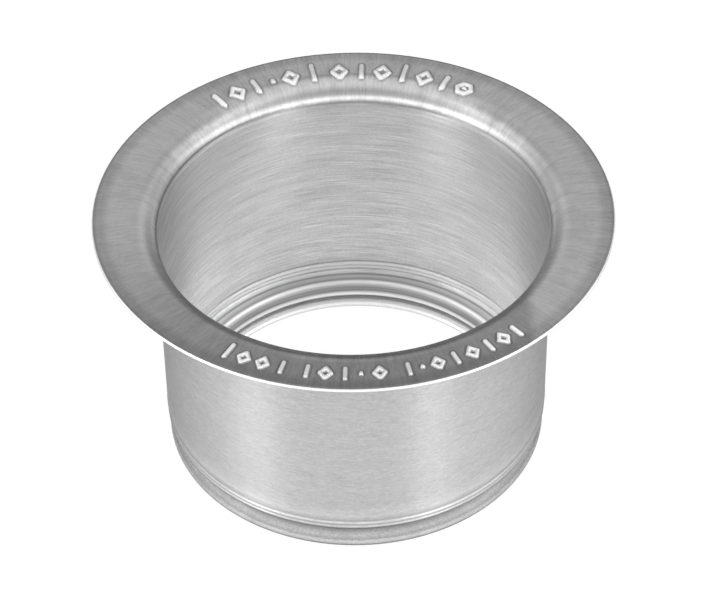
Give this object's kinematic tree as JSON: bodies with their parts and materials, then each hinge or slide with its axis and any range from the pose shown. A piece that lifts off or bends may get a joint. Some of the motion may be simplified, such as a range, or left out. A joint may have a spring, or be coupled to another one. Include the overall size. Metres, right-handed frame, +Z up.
{
  "type": "sink flange",
  "caption": "Deep round sink flange of a food-waste disposer, drawn from one steel sheet, with a snap-ring groove and lip.",
  "frame": {"origin": "centre of the bottom ledge's underside, the face that the flange stands on", "axes": "+Z up along the axis of the cylinder wall, from the bottom ledge to the rim; the flange is round, so X and Y are any two directions across it"},
  "size_m": [0.1142, 0.1142, 0.062],
  "materials": {
    "flange_steel": "brushed"
  },
  "bodies": {
    "root": {"sink_flange": "flange_steel"}
  },
  "joints": []
}
